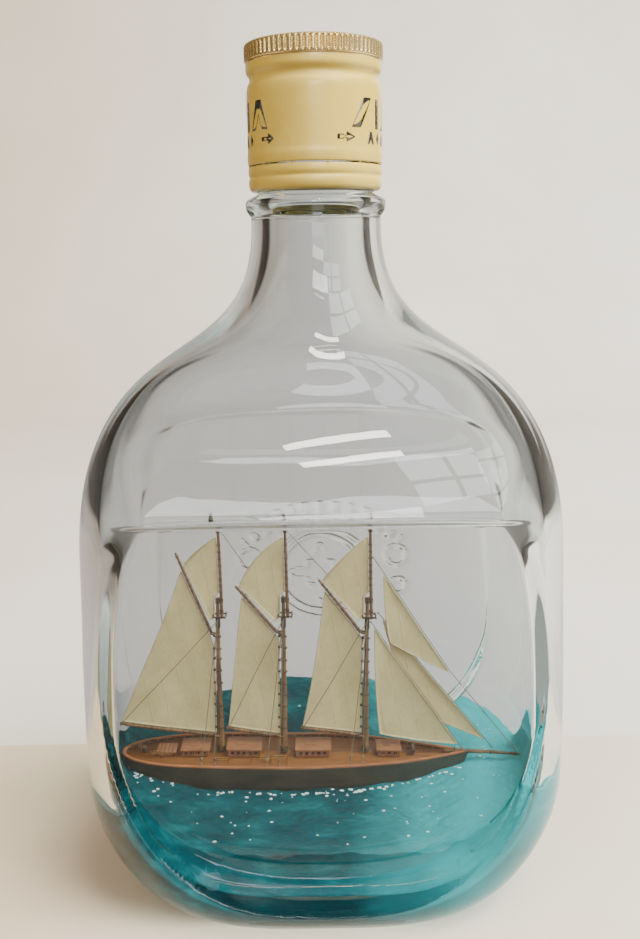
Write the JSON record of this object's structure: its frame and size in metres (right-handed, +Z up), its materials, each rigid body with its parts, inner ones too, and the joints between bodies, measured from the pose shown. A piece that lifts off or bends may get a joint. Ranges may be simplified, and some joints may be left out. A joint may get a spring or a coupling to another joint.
{
  "type": "ship in a bottle",
  "caption": "Model gaff schooner set in blue putty inside a clear flat-panelled glass bottle closed by a ribbed screw cap.",
  "frame": {"origin": "middle of the bottle's footprint, on the plane it stands on", "axes": "+Z up along the neck, +X towards the ship's bow, -Y towards the front panel"},
  "size_m": [0.1136, 0.092, 0.1937],
  "materials": {
    "glass": "clear, thick, fire-polished",
    "cap_lacquer": "printed cream lacquer with a gold ribbed top band",
    "insert_plastic": "moulded white plastic",
    "liner_foil": "thin foil facing",
    "liner_foam": "fine closed-cell foam",
    "sea_putty": "tinted putty, worked into ripples",
    "hull_paint": "black paint over wood",
    "deck_wood": "varnished planking",
    "rail_wood": "varnished",
    "house_wood": "varnished",
    "fitting_wood": "stained",
    "spar_wood": "oiled",
    "sailcloth": "stiffened cream cloth",
    "rigging_thread": "waxed thread",
    "pin_brass": "drawn wire"
  },
  "bodies": {
    "bottle": {"glass_bottle": "glass", "sea": "sea_putty", "hull": "hull_paint", "deck": "deck_wood", "bowsprit": "spar_wood", "bulwark": "rail_wood", "aft_cabin": "house_wood", "mid_deckhouse": "house_wood", "main_deckhouse": "house_wood", "fore_cabin": "house_wood", "cargo_hatch": "house_wood", "windlass": "fitting_wood", "helm": "fitting_wood", "mizzen_mast": "spar_wood", "mizzen_mast_pin": "pin_brass", "mizzen_topmast": "spar_wood", "mizzen_crosstrees": "spar_wood", "mizzen_gaff": "spar_wood", "mizzen_boom": "spar_wood", "mizzen_sail": "sailcloth", "mizzen_topsail": "sailcloth", "mizzen_topping_lift": "rigging_thread", "mizzen_shrouds_near": "rigging_thread", "mizzen_shrouds_far": "rigging_thread", "main_mast": "spar_wood", "main_mast_pin": "pin_brass", "main_topmast": "spar_wood", "main_crosstrees": "spar_wood", "main_gaff": "spar_wood", "main_boom": "spar_wood", "main_sail": "sailcloth", "main_topsail": "sailcloth", "main_topping_lift": "rigging_thread", "main_shrouds_near": "rigging_thread", "main_shrouds_far": "rigging_thread", "fore_mast": "spar_wood", "fore_mast_pin": "pin_brass", "fore_topmast": "spar_wood", "fore_crosstrees": "spar_wood", "fore_gaff": "spar_wood", "fore_boom": "spar_wood", "fore_sail": "sailcloth", "fore_topsail": "sailcloth", "fore_topping_lift": "rigging_thread", "fore_shrouds_near": "rigging_thread", "fore_shrouds_far": "rigging_thread", "staysail_stay": "rigging_thread", "jib_stay": "rigging_thread", "outer_stay": "rigging_thread", "staysail": "sailcloth", "jib": "sailcloth", "flying_jib": "sailcloth", "mizzen_topmast_stay": "rigging_thread", "main_topmast_stay": "rigging_thread"},
    "film": {"liner_film": "liner_foil"},
    "pad": {"liner_pad": "liner_foam"},
    "cap": {"cap_shell": "cap_lacquer", "thread_insert": "insert_plastic"},
    "ring": {"tamper_ring": "cap_lacquer"}
  },
  "joints": [
    {"name": "cap_lift", "type": "slide", "parent": "bottle", "child": "film", "axis": [0, 0, 1], "range_m": [0, 0.045]},
    {"name": "cap_rise", "type": "slide", "parent": "film", "child": "pad", "axis": [0, 0, 1], "range_m": [0, 0.005]},
    {"name": "cap_turn", "type": "hinge", "parent": "pad", "child": "cap", "pos_m": [0, 0, 0.18], "axis": [0, 0, 1], "range_deg": [0, 540]},
    {"name": "ring_spin", "type": "hinge", "parent": "bottle", "child": "ring", "pos_m": [0, 0, 0.165], "axis": [0, 0, 1], "continuous": true}
  ],
  "couplings": [
    {"joint": "cap_rise", "follows": "cap_turn", "m_per_rad": 0.0005093}
  ]
}
